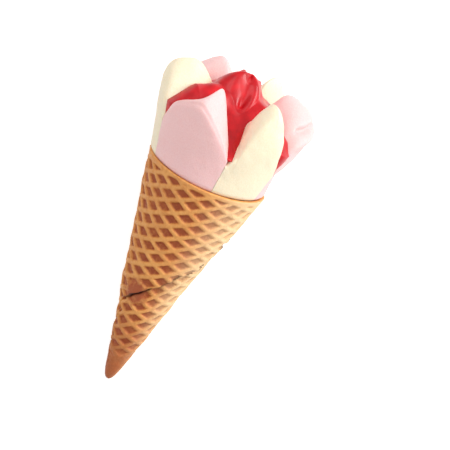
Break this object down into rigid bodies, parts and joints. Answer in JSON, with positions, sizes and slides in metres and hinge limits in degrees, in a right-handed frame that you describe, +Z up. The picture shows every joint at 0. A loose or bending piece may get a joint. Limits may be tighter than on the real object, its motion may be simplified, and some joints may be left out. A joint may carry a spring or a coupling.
{
  "type": "ice cream cone",
  "caption": "Ice cream cone lying down: a rolled waffle cone filled with ice cream that opens into folded petals, with fruit sauce between them.",
  "frame": {"origin": "centre of the bounding box, on the surface that the cone lies on", "axes": "+X from the cone's tip towards the ice cream along the surface, +Z up through the side that is shown"},
  "size_m": [0.1472, 0.0668, 0.0625],
  "materials": {
    "baked_wafer": "dry baked wafer, golden brown with darker pockets",
    "pink_ice_cream": "soft, finely grained, satin",
    "cream_ice_cream": "soft, smooth, satin",
    "red_fruit_sauce": "wet and glossy"
  },
  "bodies": {
    "root": {"wafer_cone": "baked_wafer", "pink_petal_1": "pink_ice_cream", "pink_petal_2": "pink_ice_cream", "pink_petal_3": "pink_ice_cream", "cream_petal_1": "cream_ice_cream", "cream_petal_2": "cream_ice_cream", "cream_petal_3": "cream_ice_cream", "sauce_star": "red_fruit_sauce"}
  },
  "joints": []
}
